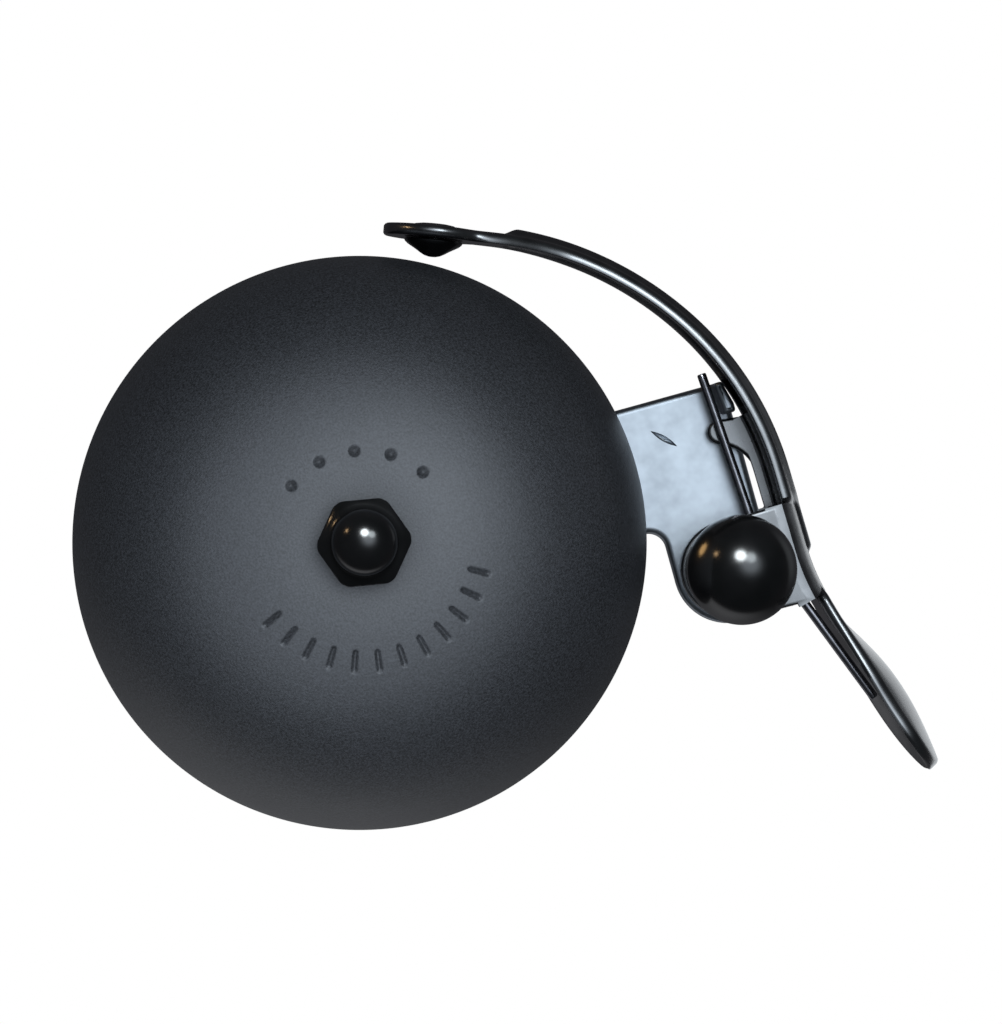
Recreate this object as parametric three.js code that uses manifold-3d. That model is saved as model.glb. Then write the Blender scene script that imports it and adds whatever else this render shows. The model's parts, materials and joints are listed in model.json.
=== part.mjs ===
// A bicycle bell with a spring-loaded striker lever, clamped to a 22.2 mm handlebar.
// Millimetres, +Z up. The origin is on the handlebar's axis under the middle of the dome,
// the handlebar runs along Y, and the striker lever stands on the +X side of the dome.

import * as THREE from 'three';
import { mergeVertices } from 'three/addons/utils/BufferGeometryUtils.js';
import Module from 'manifold-3d';

const wasm = await Module();
wasm.setup();

// Handlebar clamp
const barRadius = 11.1;
const linerOuterRadius = 12.2;
const linerTopZ = 13.3;
const linerEndAngle = -68;
const strapInnerRadius = 12.3;
const strapThickness = 1.2;
const strapInnerTopZ = 13.4;
const strapTopZ = strapInnerTopZ + strapThickness;
const strapTopHalfWidth = 6.6;
const clampHalfWidth = 7;
const lugInnerX = 2.5;
const lugOuterX = lugInnerX + strapThickness;
const lugBottomZ = -24.5;
const clampScrewZ = -18.8;
const clampScrewRadius = 1.9;
const screwHoleRadius = clampScrewRadius + 0.3;
const screwHeadRadius = 3.5;
const screwHeadHeight = 2.6;
const clampWasherThickness = 0.8;
const clampNutThickness = 3.2;

// Bracket plate
const plateThickness = 1.5;
const plateTopZ = strapTopZ + plateThickness;
const plateLeftX = -8;
const plateUpperY = 5.7;
const plateLowerY = -6.6;
const plateRightX = 38.2;
const lobeRadius = 5.25;
const stopTabTopZ = 20.2;
const stopTabOutline = [
  [37.05, 2.55],
  [plateRightX, 2.55],
  [plateRightX, 3.4],
  [37.6, plateUpperY],
  [36.8, plateUpperY],
];

// Dome
const domeRadius = 27.5;
const domeRimZ = 17.8;
const domeHeight = 24;
const domeWall = 1.3;
const domeSkirt = 1.5;
const domeSeatRadius = 5.5;
const domeTopZ = domeRimZ + domeHeight;

// Centre bolt and what it holds
const boltRadius = 2.45;
const boltHoleRadius = 2.75;
const boltHeadRadius = 4.7;
const boltHeadThickness = 1.35;
const lockWasherTopZ = plateTopZ + 0.6;
const jamNutTopZ = lockWasherTopZ + 4;
const domeWasherTopZ = domeTopZ - domeWall;
const domeWasherLowZ = domeWasherTopZ - 0.8;
const boltEndZ = domeTopZ + 3.6;

// Domed cap nut on top
const nutAcrossFlats = 7.8;
const nutTurn = -10;
const nutHexTopZ = domeTopZ + 3.4;
const nutRimRadius = 4.15;
const nutBoreTopZ = domeTopZ + 4.2;
const capRadius = 3.1;
const capHeight = 3;

// Pivot of the lever
const pivotX = 33.75;
const pivotY = -12;
const studRadius = 2;
const studHoleRadius = 2.3;
const studThreadRadius = 1.6;
const ballRadius = 5.2;
const ballCentreHeight = 4.6;

// Lever, a steel strip on edge that widens into two ears at the pivot
const sheet = 1.1;
const leverMiddleZ = 20.7;
const leverHalfWidth = 4.1;
const earThickness = 1;
const earHalfWidth = 4.7;
const earSpan = [50.8, 60.2];
const noseCentre = [36.35, 1.05];
const noseRadius = 1.15;
const noseSpan = 41.45;
const noseEdgeBend = [38.6, -1];
const noseEdgeEnd = [38.85, -4];
const leverStart = [10.13, 28.38];
const leverRuns = [
  { length: 9.87, from: -20.9, to: -20.9 },
  { length: 20.4, from: -20.9, to: -56 },
  { length: 17.4, from: -56, to: -89.1 },
  { length: 7.8, from: -89.1, to: -89.1 },
  { length: 5.1, from: -89.1, to: -75.1 },
  { length: 10.1, from: -75.1, to: -75.1 },
  { length: 9.6, from: -75.1, to: -63.5 },
];
const leverLength = leverRuns.reduce((sum, run) => sum + run.length, 0);
const headDiscRadius = 4.7;
const neckHalfWidth = 2.7;
const padHalfWidth = 5.6;
const ribHeight = 0.7;
const ribSpan = [11.2, 56.6];
const ribFade = 1.4;
const dishDepth = 2;
const dishStart = 63;

// Hammer riveted through the disc at the end of the lever
const hammerRadius = 2.8;
const hammerHeight = 1.6;
const hammerAlong = 4.9;
const rivetShankRadius = 1.2;
const rivetHoleRadius = 1.5;
const rivetHeadRadius = 2.1;

// Torsion spring
const springWireRadius = 0.45;
const springCoilRadius = 3.5;
const springLowZ = 18.2;
const springHighZ = 22.6;
const springTurns = 4;
const bracketLegEnd = [36.08, 6.9];
const leverLegEnd = [43.4, -27.4];

const roundSteps = 32;
const slip = 0.05;

const degrees = (angle) => (angle * Math.PI) / 180;

// Makes a solid out of a closed geometry, with its shared vertices merged.
function solidOf(geometry) {
  const plain = geometry.clone();
  plain.deleteAttribute('normal');
  plain.deleteAttribute('uv');
  const merged = mergeVertices(plain, 1e-4);
  const vertProperties = new Float32Array(merged.attributes.position.array);
  const triVerts = new Uint32Array(merged.index.array);
  return new wasm.Manifold(new wasm.Mesh({ numProp: 3, vertProperties, triVerts }));
}

function geometryOf(solid) {
  const mesh = solid.getMesh();
  const geometry = new THREE.BufferGeometry();
  geometry.setAttribute('position', new THREE.BufferAttribute(mesh.vertProperties, 3));
  geometry.setIndex(new THREE.BufferAttribute(mesh.triVerts, 1));
  geometry.computeVertexNormals();
  return geometry;
}

// A turned piece about the Z axis. The profile is a list of [radius, z] points.
function turned(profile, steps = roundSteps) {
  const points = profile.map(([radius, z]) => new THREE.Vector2(radius, z));
  return new THREE.LatheGeometry(points, steps).rotateX(Math.PI / 2);
}

function ring(innerRadius, outerRadius, lowZ, highZ, steps = roundSteps) {
  return turned([
    [innerRadius, lowZ],
    [outerRadius, lowZ],
    [outerRadius, highZ],
    [innerRadius, highZ],
    [innerRadius, lowZ],
  ], steps);
}

function rod(radius, lowZ, highZ, steps = roundSteps) {
  return turned([[0, lowZ], [radius, lowZ], [radius, highZ], [0, highZ]], steps);
}

// A flat plate between two heights, cut to a shape.
function plate(shape, lowZ, highZ, curveSegments = 12) {
  const depth = highZ - lowZ;
  const geometry = new THREE.ExtrudeGeometry(shape, { depth, bevelEnabled: false, curveSegments });
  return geometry.translate(0, 0, lowZ);
}

function polygon(points) {
  return new THREE.Shape(points.map(([x, y]) => new THREE.Vector2(x, y)));
}

// A hexagon with its first corner at an angle in degrees.
function hexagon(acrossFlats, turn) {
  const corner = acrossFlats / Math.sqrt(3);
  const angles = [0, 60, 120, 180, 240, 300].map((angle) => degrees(angle + turn));
  return polygon(angles.map((angle) => [corner * Math.cos(angle), corner * Math.sin(angle)]));
}

// Evenly spaced values, both ends included.
function evenly(from, to, steps) {
  const values = [];
  for (let i = 0; i <= steps; i += 1) values.push(from + (to - from) * (i / steps));
  return values;
}

function addRoundHole(shape, x, y, radius) {
  const hole = new THREE.Path();
  hole.absarc(x, y, radius, 0, 2 * Math.PI, true);
  shape.holes.push(hole);
  return shape;
}

const group = new THREE.Group();
const blackPaint = { color: 0x1d1f22, roughness: 0.35, metalness: 0.3 };
const mattePaint = { color: 0x3c4046, roughness: 0.6, metalness: 0.2 };
const zincSteel = { color: 0xa9adb0, roughness: 0.35, metalness: 0.9 };
const rubber = { color: 0x18181a, roughness: 0.9, metalness: 0 };
const nylon = { color: 0xd9d6cc, roughness: 0.6, metalness: 0 };

function add(name, geometry, finish, parent = group) {
  const mesh = new THREE.Mesh(geometry, new THREE.MeshStandardMaterial(finish));
  mesh.name = name;
  parent.add(mesh);
  return mesh;
}

// ---- Dome and centre bolt ----

function domeArc(wall) {
  const across = domeRadius - wall - domeSeatRadius;
  const up = domeHeight - domeSkirt - wall;
  return evenly(0, Math.PI / 2, 9).map((angle) => [
    domeSeatRadius + across * Math.cos(angle),
    domeRimZ + domeSkirt + up * Math.sin(angle),
  ]);
}

function bellDome() {
  const outside = [[domeRadius, domeRimZ], ...domeArc(0), [boltHoleRadius, domeTopZ]];
  const inside = [[domeRadius - domeWall, domeRimZ], ...domeArc(domeWall)];
  inside.push([boltHoleRadius, domeTopZ - domeWall]);
  const profile = [...outside, ...inside.reverse(), outside[0]];
  return turned(profile, 56);
}

function centreBolt() {
  const headLowZ = strapInnerTopZ - boltHeadThickness;
  return turned([
    [0, headLowZ],
    [boltHeadRadius - 0.5, headLowZ],
    [boltHeadRadius, headLowZ + 0.5],
    [boltHeadRadius, strapInnerTopZ],
    [boltRadius, strapInnerTopZ],
    [boltRadius, boltEndZ - 0.5],
    [boltRadius - 0.5, boltEndZ],
    [0, boltEndZ],
  ], 24);
}

function acornNut() {
  const chamfered = turned([
    [0, domeTopZ],
    [nutRimRadius - 0.4, domeTopZ],
    [nutRimRadius, domeTopZ + 0.4],
    [nutRimRadius, nutHexTopZ - 0.7],
    [capRadius, nutHexTopZ],
    [0, nutHexTopZ],
  ], 36);
  const cap = [[0, nutHexTopZ - 0.5], [capRadius, nutHexTopZ - 0.5]];
  for (const angle of evenly(0, Math.PI / 2, 6)) {
    cap.push([capRadius * Math.cos(angle), nutHexTopZ + capHeight * Math.sin(angle)]);
  }
  const hex = plate(hexagon(nutAcrossFlats, nutTurn), domeTopZ, nutHexTopZ);
  const bore = rod(boltHoleRadius, domeTopZ - 1, nutBoreTopZ, 24);
  const body = solidOf(hex).intersect(solidOf(chamfered)).add(solidOf(turned(cap)));
  return geometryOf(body.subtract(solidOf(bore)));
}

function jamNut() {
  const shape = addRoundHole(hexagon(8, 10), 0, 0, boltHoleRadius);
  return plate(shape, lockWasherTopZ, jamNutTopZ, 8);
}

add('bell_dome', bellDome(), mattePaint);
add('acorn_nut', acornNut(), blackPaint);
add('centre_bolt', centreBolt(), zincSteel);
add('bracket_lock_washer', ring(boltHoleRadius, 4.6, plateTopZ, lockWasherTopZ, 24), zincSteel);
add('bracket_jam_nut', jamNut(), zincSteel);
add('dome_spacer', ring(boltHoleRadius, 4.4, jamNutTopZ, domeWasherLowZ, 24), zincSteel);
add('dome_washer', ring(boltHoleRadius, 5.2, domeWasherLowZ, domeWasherTopZ, 24), rubber);

// ---- Bracket plate with its stop tab ----

function bracketPlate() {
  const fillet = 1.7;
  const lobeLeftX = pivotX - lobeRadius;
  const shape = new THREE.Shape();
  shape.moveTo(plateLeftX, plateLowerY);
  shape.lineTo(lobeLeftX - fillet, plateLowerY);
  shape.absarc(lobeLeftX - fillet, plateLowerY - fillet, fillet, Math.PI / 2, 0, true);
  shape.lineTo(lobeLeftX, pivotY);
  shape.absarc(pivotX, pivotY, lobeRadius, Math.PI, 2 * Math.PI, false);
  shape.lineTo(plateRightX, pivotY + 3);
  shape.lineTo(plateRightX, plateUpperY);
  shape.lineTo(plateLeftX, plateUpperY);
  shape.closePath();
  addRoundHole(shape, 0, 0, boltHoleRadius);
  addRoundHole(shape, pivotX, pivotY, studHoleRadius);
  return plate(shape, strapTopZ, plateTopZ);
}

// The tab is turned up at the plate's outer corner. The lever rests against its outer face
// and the spring's lower leg against its inner face.
function stopTab() {
  return plate(polygon(stopTabOutline), strapTopZ, stopTabTopZ);
}

function bracket() {
  return geometryOf(solidOf(bracketPlate()).add(solidOf(stopTab())));
}

add('bracket', bracket(), blackPaint);

// ---- Handlebar clamp ----

// The outline of a band round the bar with a flat top: a circle, and lines that leave it
// tangentially for the ends of the flat.
function flatToppedOutline(radius, topZ, halfTop, startAngle) {
  const reach = Math.hypot(halfTop, topZ);
  const tangent = Math.atan2(topZ, halfTop) - Math.acos(radius / reach);
  const angles = evenly(startAngle, tangent, 18);
  const points = angles.map((angle) => [radius * Math.cos(angle), radius * Math.sin(angle)]);
  points.push([halfTop, topZ]);
  return [...points, ...points.map(([x, z]) => [-x, z]).reverse()];
}

function alongBar(points) {
  return plate(polygon(points), -clampHalfWidth, clampHalfWidth).rotateX(Math.PI / 2);
}

function clampStrap() {
  const outerRadius = strapInnerRadius + strapThickness;
  const outerStart = Math.asin(lugOuterX / outerRadius) - Math.PI / 2;
  const innerStart = Math.asin(lugInnerX / strapInnerRadius) - Math.PI / 2;
  const outerHalfTop = strapTopHalfWidth + 0.6;
  const outer = flatToppedOutline(outerRadius, strapTopZ, outerHalfTop, outerStart);
  const inner = flatToppedOutline(strapInnerRadius, strapInnerTopZ, strapTopHalfWidth, innerStart);
  const band = [
    [lugOuterX, lugBottomZ],
    ...outer,
    [-lugOuterX, lugBottomZ],
    [-lugInnerX, lugBottomZ],
    ...inner.reverse(),
    [lugInnerX, lugBottomZ],
  ];
  const boltHole = rod(boltHoleRadius, strapInnerTopZ - 2, strapTopZ + 2, 24);
  const screwHole = rod(screwHoleRadius, -8, 8, 24).rotateY(Math.PI / 2);
  screwHole.translate(0, 0, clampScrewZ);
  return geometryOf(solidOf(alongBar(band)).subtract(solidOf(boltHole)).subtract(solidOf(screwHole)));
}

function clampLiner() {
  const start = degrees(linerEndAngle);
  const outer = flatToppedOutline(linerOuterRadius, linerTopZ, strapTopHalfWidth - 0.1, start);
  const angles = evenly(Math.PI - start, start, 44);
  const inner = angles.map((angle) => [barRadius * Math.cos(angle), barRadius * Math.sin(angle)]);
  const recess = rod(boltHeadRadius + 0.4, 11.75, linerTopZ + 2, 24);
  return geometryOf(solidOf(alongBar([...outer, ...inner])).subtract(solidOf(recess)));
}

function clampScrew() {
  const headEndX = -lugOuterX - screwHeadHeight;
  return turned([
    [0, headEndX],
    [screwHeadRadius - 0.9, headEndX],
    [screwHeadRadius, headEndX + 0.9],
    [screwHeadRadius, -lugOuterX],
    [clampScrewRadius, -lugOuterX],
    [clampScrewRadius, lugOuterX + 5],
    [0, lugOuterX + 5],
  ], 24);
}

function clampNut() {
  const shape = addRoundHole(hexagon(7, 30), 0, 0, screwHoleRadius);
  const lowX = lugOuterX + clampWasherThickness;
  return plate(shape, lowX, lowX + clampNutThickness, 8);
}

const clampWasher = ring(screwHoleRadius, 4.4, lugOuterX, lugOuterX + clampWasherThickness, 24);
const acrossBar = new THREE.Group();
acrossBar.rotation.y = Math.PI / 2;
acrossBar.position.z = clampScrewZ;
group.add(acrossBar);

add('clamp_strap', clampStrap(), blackPaint);
add('clamp_liner', clampLiner(), rubber);
add('clamp_screw', clampScrew(), zincSteel, acrossBar);
add('clamp_washer', clampWasher, zincSteel, acrossBar);
add('clamp_nut', clampNut(), zincSteel, acrossBar);

// ---- Pivot stack ----

const leverLowZ = leverMiddleZ - leverHalfWidth;
const leverHighZ = leverMiddleZ + leverHalfWidth;
const upperWasherTopZ = leverHighZ + 0.5;
const pivot = new THREE.Group();
pivot.position.set(pivotX, pivotY, 0);
group.add(pivot);

function pivotStud() {
  return turned([
    [0, strapTopZ - 1.3],
    [2.9, strapTopZ - 1.3],
    [3.6, strapTopZ - 0.6],
    [3.6, strapTopZ],
    [studRadius, strapTopZ],
    [studRadius, upperWasherTopZ - 0.1],
    [studThreadRadius, upperWasherTopZ - 0.1],
    [studThreadRadius, upperWasherTopZ + 5.2],
    [0, upperWasherTopZ + 5.2],
  ], 24);
}

// A ball with a small flat underneath and a blind threaded hole.
function ballKnob() {
  const flat = Math.acos(ballCentreHeight / ballRadius);
  const centreZ = upperWasherTopZ + ballCentreHeight;
  const holeRadius = studThreadRadius + 0.25;
  const holeTopZ = upperWasherTopZ + 5.6;
  const profile = [[holeRadius, upperWasherTopZ]];
  for (const angle of evenly(flat, Math.PI, 14)) {
    profile.push([ballRadius * Math.sin(angle), centreZ - ballRadius * Math.cos(angle)]);
  }
  profile[profile.length - 1][0] = 0;
  profile.push([0, holeTopZ], [holeRadius, holeTopZ], [holeRadius, upperWasherTopZ]);
  return turned(profile);
}

add('pivot_stud', pivotStud(), zincSteel, pivot);
add('pivot_lower_washer', ring(studHoleRadius, 4.4, plateTopZ, leverLowZ - slip, 24), nylon, pivot);
add('pivot_sleeve', ring(studHoleRadius, 2.75, leverLowZ + earThickness + slip,
  leverHighZ - earThickness - slip, 24), zincSteel, pivot);
add('pivot_upper_washer', ring(studHoleRadius, 4, leverHighZ + slip, upperWasherTopZ, 24),
  nylon, pivot);
add('ball_knob', ballKnob(), blackPaint, pivot);

// ---- Striker lever ----

// The middle line of the strip, seen along the pivot: place and heading at a distance along it.
function leverAt(distance) {
  let [x, y] = leverStart;
  let left = distance;
  let heading = leverRuns[0].from;
  for (const run of leverRuns) {
    const used = Math.min(left, run.length);
    const steps = 24;
    for (let i = 0; i < steps; i += 1) {
      const share = ((i + 0.5) / steps) * (used / run.length);
      const angle = degrees(run.from + (run.to - run.from) * share);
      x += (used / steps) * Math.cos(angle);
      y += (used / steps) * Math.sin(angle);
    }
    heading = run.from + (run.to - run.from) * (used / run.length);
    left -= used;
    if (left <= 0) break;
  }
  const angle = degrees(heading);
  return { x, y, outX: -Math.sin(angle), outY: Math.cos(angle) };
}

function smooth(low, high, value) {
  const share = Math.min(1, Math.max(0, (value - low) / (high - low)));
  return share * share * (3 - 2 * share);
}

function leverHalfWidthAt(distance) {
  const discEnd = 2 * headDiscRadius;
  const padRoundStart = leverLength - padHalfWidth;
  if (distance < discEnd) {
    const disc = Math.sqrt(Math.max(0, headDiscRadius ** 2 - (distance - headDiscRadius) ** 2));
    return distance < headDiscRadius ? Math.max(disc, 0.9) : Math.max(disc, neckHalfWidth);
  }
  if (distance < earSpan[1]) {
    return neckHalfWidth + (leverHalfWidth - neckHalfWidth) * smooth(discEnd, discEnd + 9, distance);
  }
  if (distance < padRoundStart) {
    const spread = smooth(earSpan[1], earSpan[1] + 10, distance);
    return leverHalfWidth + (padHalfWidth - leverHalfWidth) * spread;
  }
  const beyond = Math.min(distance - padRoundStart, padHalfWidth);
  return Math.max(Math.sqrt(padHalfWidth ** 2 - beyond ** 2), 1);
}

// How far the strip is pressed outwards, at a place along it and a share of its half width.
function leverPress(distance, share) {
  const along = smooth(ribSpan[0], ribSpan[0] + ribFade, distance)
    * (1 - smooth(ribSpan[1] - ribFade, ribSpan[1], distance));
  const rib = ribHeight * along * (1 - smooth(0.3, 0.62, Math.abs(share)));
  const reach = (distance - dishStart) / (leverLength + 1.5 - dishStart);
  const dish = reach > 0 ? dishDepth * Math.sin(Math.PI * reach) * (1 - share * share) : 0;
  return rib + dish;
}

// Distances along the strip at which it is drawn, closer where its outline or its rib changes.
function leverStations() {
  const quarter = evenly(0, Math.PI / 2, 6);
  const padRoundStart = leverLength - padHalfWidth;
  return [
    ...quarter.map((angle) => headDiscRadius * (1 - Math.cos(angle))),
    ...evenly(6.4, 10.4, 3),
    ...evenly(ribSpan[0], ribSpan[0] + ribFade, 2),
    ...evenly(15, 53, 18),
    ...evenly(ribSpan[1] - ribFade, ribSpan[1], 2),
    ...evenly(58.5, padRoundStart - 1.2, 9),
    ...quarter.map((angle) => padRoundStart + padHalfWidth * Math.sin(angle)),
  ];
}

// The strip is a loft: at each station a flat-sided section, as wide as the strip is there.
function leverStrip() {
  const shares = [-1, -0.8, -0.62, -0.45, -0.3, 0, 0.3, 0.45, 0.62, 0.8, 1];
  const stations = leverStations();
  const size = 2 * shares.length;
  const positions = [];
  for (const distance of stations) {
    const { x, y, outX, outY } = leverAt(distance);
    const halfWidth = leverHalfWidthAt(distance);
    for (const side of [1, -1]) {
      for (const share of side > 0 ? shares : [...shares].reverse()) {
        const out = leverPress(distance, share) + (side * sheet) / 2;
        positions.push(x + outX * out, y + outY * out, leverMiddleZ + halfWidth * share);
      }
    }
  }
  const triangles = [];
  const quad = (a, b, c, d) => triangles.push(a, b, c, a, c, d);
  for (let i = 0; i + 1 < stations.length; i += 1) {
    for (let j = 0; j < size; j += 1) {
      const next = (j + 1) % size;
      quad(i * size + j, i * size + next, (i + 1) * size + next, (i + 1) * size + j);
    }
  }
  const last = (stations.length - 1) * size;
  for (let j = 0; j + 1 < shares.length; j += 1) {
    const other = size - 1 - j;
    quad(j, other, other - 1, j + 1);
    quad(last + j, last + j + 1, last + other - 1, last + other);
  }
  const geometry = new THREE.BufferGeometry();
  geometry.setAttribute('position', new THREE.BufferAttribute(new Float32Array(positions), 3));
  geometry.setIndex(triangles);
  return geometry;
}

// Points on the strip's middle line, from one distance to another.
function alongStrip(from, to, steps) {
  return evenly(from, to, steps).map((distance) => {
    const { x, y } = leverAt(distance);
    return [x, y];
  });
}

function pivotEar(shape) {
  shape.lineTo(pivotX, pivotY + earHalfWidth);
  shape.absarc(pivotX, pivotY, earHalfWidth, Math.PI / 2, 1.5 * Math.PI, false);
  return shape;
}

function upperEar() {
  const shape = new THREE.Shape();
  const [first, ...rest] = alongStrip(earSpan[1], earSpan[0], 6);
  shape.moveTo(...first);
  rest.forEach((point) => shape.lineTo(...point));
  pivotEar(shape);
  shape.closePath();
  return plate(shape, leverHighZ - earThickness, leverHighZ);
}

// The lower ear runs on along the strip as a flange that ends in a rounded nose.
function lowerEar() {
  const [noseX, noseY] = noseCentre;
  const shape = new THREE.Shape();
  const [first, ...rest] = alongStrip(earSpan[1], noseSpan, 12);
  shape.moveTo(...first);
  rest.forEach((point) => shape.lineTo(...point));
  shape.lineTo(noseX, noseY + noseRadius);
  shape.absarc(noseX, noseY, noseRadius, Math.PI / 2, 1.35 * Math.PI, false);
  shape.quadraticCurveTo(...noseEdgeBend, ...noseEdgeEnd);
  shape.lineTo(noseEdgeEnd[0], pivotY + earHalfWidth);
  pivotEar(shape);
  shape.closePath();
  return plate(shape, leverLowZ, leverLowZ + earThickness);
}

function strikerLever() {
  const pivotHole = rod(studHoleRadius, leverLowZ - 2, leverHighZ + 2, 24);
  pivotHole.translate(pivotX, pivotY, 0);
  const { x, y, outX, outY } = leverAt(hammerAlong);
  const rivetHole = rod(rivetHoleRadius, -4, 4, 16);
  rivetHole.applyMatrix4(faceFrame(x, y, outX, outY));
  const body = solidOf(leverStrip()).add(solidOf(upperEar())).add(solidOf(lowerEar()));
  return geometryOf(body.subtract(solidOf(pivotHole)).subtract(solidOf(rivetHole)));
}

// A frame whose Z axis points out of the strip's outer face.
function faceFrame(x, y, outX, outY) {
  const out = new THREE.Vector3(outX, outY, 0);
  const up = new THREE.Vector3(0, 0, 1);
  const along = new THREE.Vector3().crossVectors(up, out);
  const frame = new THREE.Matrix4().makeBasis(along, up, out);
  return frame.setPosition(x, y, leverMiddleZ);
}

function strikerHammer() {
  const innerFace = -sheet / 2 - 0.1;
  const outerFace = sheet / 2 + 0.1;
  const { x, y, outX, outY } = leverAt(hammerAlong);
  const hammer = turned([
    [0, innerFace - hammerHeight],
    [0.7, innerFace - hammerHeight + 0.1],
    [1.3, innerFace - hammerHeight + 0.45],
    [hammerRadius - 0.1, innerFace - 0.35],
    [hammerRadius, innerFace],
    [rivetShankRadius, innerFace],
    [rivetShankRadius, outerFace],
    [rivetHeadRadius, outerFace],
    [rivetHeadRadius - 0.5, outerFace + 0.25],
    [0, outerFace + 0.3],
  ], 24);
  return hammer.applyMatrix4(faceFrame(x, y, outX, outY));
}

add('striker_lever', strikerLever(), blackPaint);
add('striker_hammer', strikerHammer(), blackPaint);

// ---- Torsion spring ----

// The point where a line from a far point touches the coil, and its angle about the pivot.
function coilTangent([farX, farY], side) {
  const dx = farX - pivotX;
  const dy = farY - pivotY;
  return Math.atan2(dy, dx) + side * Math.acos(springCoilRadius / Math.hypot(dx, dy));
}

class SpringLine extends THREE.Curve {
  constructor() {
    super();
    this.startAngle = coilTangent(bracketLegEnd, -1);
    const endAngle = coilTangent(leverLegEnd, 1);
    this.sweep = -(springTurns * 2 * Math.PI + this.startAngle - endAngle);
    this.startLeg = Math.hypot(bracketLegEnd[0] - this.coil(0).x, bracketLegEnd[1] - this.coil(0).y);
    this.endLeg = Math.hypot(leverLegEnd[0] - this.coil(1).x, leverLegEnd[1] - this.coil(1).y);
    this.coilLength = Math.abs(this.sweep) * springCoilRadius;
    this.wireLength = this.startLeg + this.coilLength + this.endLeg;
  }

  coil(share) {
    const angle = this.startAngle + this.sweep * share;
    const x = pivotX + springCoilRadius * Math.cos(angle);
    const y = pivotY + springCoilRadius * Math.sin(angle);
    return new THREE.Vector3(x, y, springLowZ + (springHighZ - springLowZ) * share);
  }

  getPoint(share, target = new THREE.Vector3()) {
    const along = share * this.wireLength;
    if (along < this.startLeg) {
      const far = new THREE.Vector3(...bracketLegEnd, springLowZ);
      return target.copy(far.lerp(this.coil(0), along / this.startLeg));
    }
    if (along < this.startLeg + this.coilLength) {
      return target.copy(this.coil((along - this.startLeg) / this.coilLength));
    }
    const far = new THREE.Vector3(...leverLegEnd, springHighZ);
    const left = (along - this.startLeg - this.coilLength) / this.endLeg;
    return target.copy(this.coil(1).lerp(far, left));
  }
}

function torsionSpring() {
  const section = new THREE.Shape();
  section.absarc(0, 0, springWireRadius, 0, 2 * Math.PI, false);
  const options = { extrudePath: new SpringLine(), steps: 96, curveSegments: 6, bevelEnabled: false };
  return new THREE.ExtrudeGeometry(section, options);
}

add('torsion_spring', torsionSpring(), zincSteel);

export default group;
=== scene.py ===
"""A black bicycle bell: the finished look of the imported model, with its camera and lights."""

import json
import math

import bpy
from mathutils import Matrix, Vector
from mathutils.geometry import tessellate_polygon


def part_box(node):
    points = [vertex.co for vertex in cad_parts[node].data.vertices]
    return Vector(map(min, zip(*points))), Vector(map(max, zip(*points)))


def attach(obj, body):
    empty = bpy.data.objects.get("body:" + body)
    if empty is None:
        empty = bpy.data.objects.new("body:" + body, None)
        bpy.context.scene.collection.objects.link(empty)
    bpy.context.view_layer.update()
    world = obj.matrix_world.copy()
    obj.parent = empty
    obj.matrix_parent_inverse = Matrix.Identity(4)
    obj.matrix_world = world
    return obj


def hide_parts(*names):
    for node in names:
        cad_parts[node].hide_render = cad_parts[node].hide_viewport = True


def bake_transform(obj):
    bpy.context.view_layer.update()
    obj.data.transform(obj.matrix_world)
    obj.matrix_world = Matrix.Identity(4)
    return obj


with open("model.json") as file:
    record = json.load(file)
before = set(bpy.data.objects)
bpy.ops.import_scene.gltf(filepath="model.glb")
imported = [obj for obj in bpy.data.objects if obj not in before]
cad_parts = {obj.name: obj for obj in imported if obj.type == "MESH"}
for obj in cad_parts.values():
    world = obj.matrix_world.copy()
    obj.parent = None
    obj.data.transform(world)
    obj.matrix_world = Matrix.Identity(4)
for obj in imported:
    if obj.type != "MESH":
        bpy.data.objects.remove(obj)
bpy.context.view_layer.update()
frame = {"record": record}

MM = 0.001
TAU = 2 * math.pi
SHARP_ANGLE = math.radians(35)
NEARLY_STRAIGHT = math.radians(172)

# ------ places from the frame, in mm


def node_box(node):
    """The lowest and highest corner of a CAD node, in millimetres."""
    low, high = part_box(node)
    return Vector(low) / MM, Vector(high) / MM


def z_span(node):
    low, high = node_box(node)
    return low.z, high.z


joint = frame["record"]["behaviour"]["joints"][0]
PIVOT_X, PIVOT_Y = (value / MM for value in joint["pos_m"][:2])

DOME_RIM_Z, DOME_TOP_Z = z_span("bell_dome")
DOME_RADIUS = node_box("bell_dome")[1].x
PLATE_LOW_Z, STOP_TAB_TOP_Z = z_span("bracket")
PLATE_TOP_Z = z_span("pivot_lower_washer")[0]
LUG_LOW_Z, STRAP_TOP_Z = z_span("clamp_strap")
LEVER_PLAY = 0.05
LEVER_LOW_Z = z_span("pivot_lower_washer")[1] + LEVER_PLAY
LEVER_HIGH_Z = z_span("pivot_upper_washer")[0] - LEVER_PLAY
LEVER_MIDDLE_Z = (LEVER_LOW_Z + LEVER_HIGH_Z) / 2

# ------ outlines and meshes


def arc(cx, cy, radius, start, end, steps=12):
    """Points on an arc, from one angle to another in degrees."""
    points = []
    for i in range(steps + 1):
        angle = math.radians(start + (end - start) * i / steps)
        points.append((cx + radius * math.cos(angle), cy + radius * math.sin(angle)))
    return points


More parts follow.
